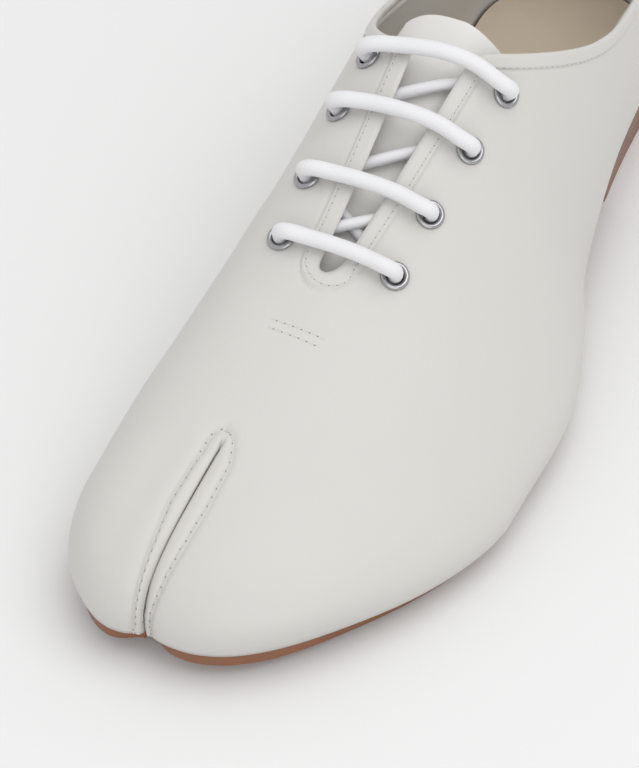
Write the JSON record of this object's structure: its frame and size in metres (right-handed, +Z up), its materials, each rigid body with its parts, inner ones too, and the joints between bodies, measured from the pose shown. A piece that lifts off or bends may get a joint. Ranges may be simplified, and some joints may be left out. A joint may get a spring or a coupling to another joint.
{
  "type": "split toe lace-up shoe",
  "caption": "Left split toe lace-up shoe with a smooth white leather upper, a low stacked heel, metal eyelets and a round lace over an open throat.",
  "frame": {"origin": "floor level below the middle of the shoe's box", "axes": "+Z up, -Y towards the toe, -X towards the big toe side"},
  "size_m": [0.1084, 0.2872, 0.096],
  "materials": {
    "white_leather": "smooth, semi-matt",
    "sole_leather": "waxed tan edge",
    "heel_leather": "waxed tan layers",
    "lining_leather": "natural lining",
    "eyelet_metal": "bright plated",
    "white_lace": "waxed round cord"
  },
  "bodies": {
    "root": {"outsole": "sole_leather", "insole": "lining_leather", "heel": "heel_leather", "upper": "white_leather", "tongue": "white_leather", "eyelet_inner_1": "eyelet_metal", "eyelet_inner_2": "eyelet_metal", "eyelet_inner_3": "eyelet_metal", "eyelet_inner_4": "eyelet_metal", "eyelet_outer_1": "eyelet_metal", "eyelet_outer_2": "eyelet_metal", "eyelet_outer_3": "eyelet_metal", "eyelet_outer_4": "eyelet_metal", "lace": "white_lace"}
  },
  "joints": []
}
